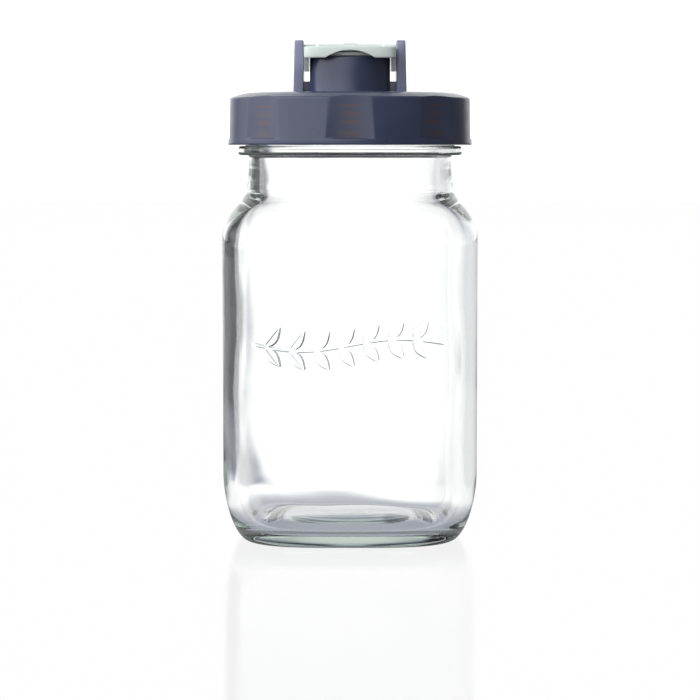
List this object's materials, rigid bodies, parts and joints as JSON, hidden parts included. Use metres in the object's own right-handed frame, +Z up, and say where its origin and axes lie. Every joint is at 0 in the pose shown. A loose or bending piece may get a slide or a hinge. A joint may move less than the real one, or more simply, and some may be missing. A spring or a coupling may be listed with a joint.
{
  "type": "glass storage jar with pouring lid",
  "caption": "Clear rounded-square glass jar with a screw-on plastic lid that has a pouring spout under a hinged flip cap.",
  "frame": {"origin": "centre of the plane that the jar stands on", "axes": "+Z up along the axis of the jar's mouth and lid, -Y towards the front, where the cap's thumb notch is, +X to the right seen from the front"},
  "size_m": [0.096, 0.096, 0.1874],
  "materials": {
    "clear_glass": "smooth clear soda-lime glass with a faint green tint where it is thick",
    "slate_plastic": "satin moulded polypropylene, slate blue-grey, slightly translucent where thin",
    "mint_plastic": "satin moulded polypropylene, pale green",
    "pale_silicone": "matt soft silicone, pale grey-green",
    "grey_seal": "matt sealing foam, mid grey"
  },
  "bodies": {
    "jar": {"glass_jar": "clear_glass"},
    "rim_seal": {"lid_seal_ring": "grey_seal"},
    "lid": {"screw_lid": "slate_plastic"},
    "cap": {"flip_cap": "mint_plastic", "spout_seal": "pale_silicone"}
  },
  "joints": [
    {"name": "lid_rise", "type": "slide", "parent": "jar", "child": "rim_seal", "axis": [0, 0, 1], "range_m": [0, 0.00668]},
    {"name": "lid_turn", "type": "hinge", "parent": "rim_seal", "child": "lid", "pos_m": [0, 0, 0.148], "axis": [0, 0, 1], "range_deg": [0, 480]},
    {"name": "cap_flip", "type": "hinge", "parent": "lid", "child": "cap", "pos_m": [0, 0.0172, 0.1846], "axis": [-1, 0, 0], "range_deg": [0, 130]}
  ],
  "couplings": [
    {"joint": "lid_rise", "follows": "lid_turn", "m_per_rad": 0.00079577}
  ]
}
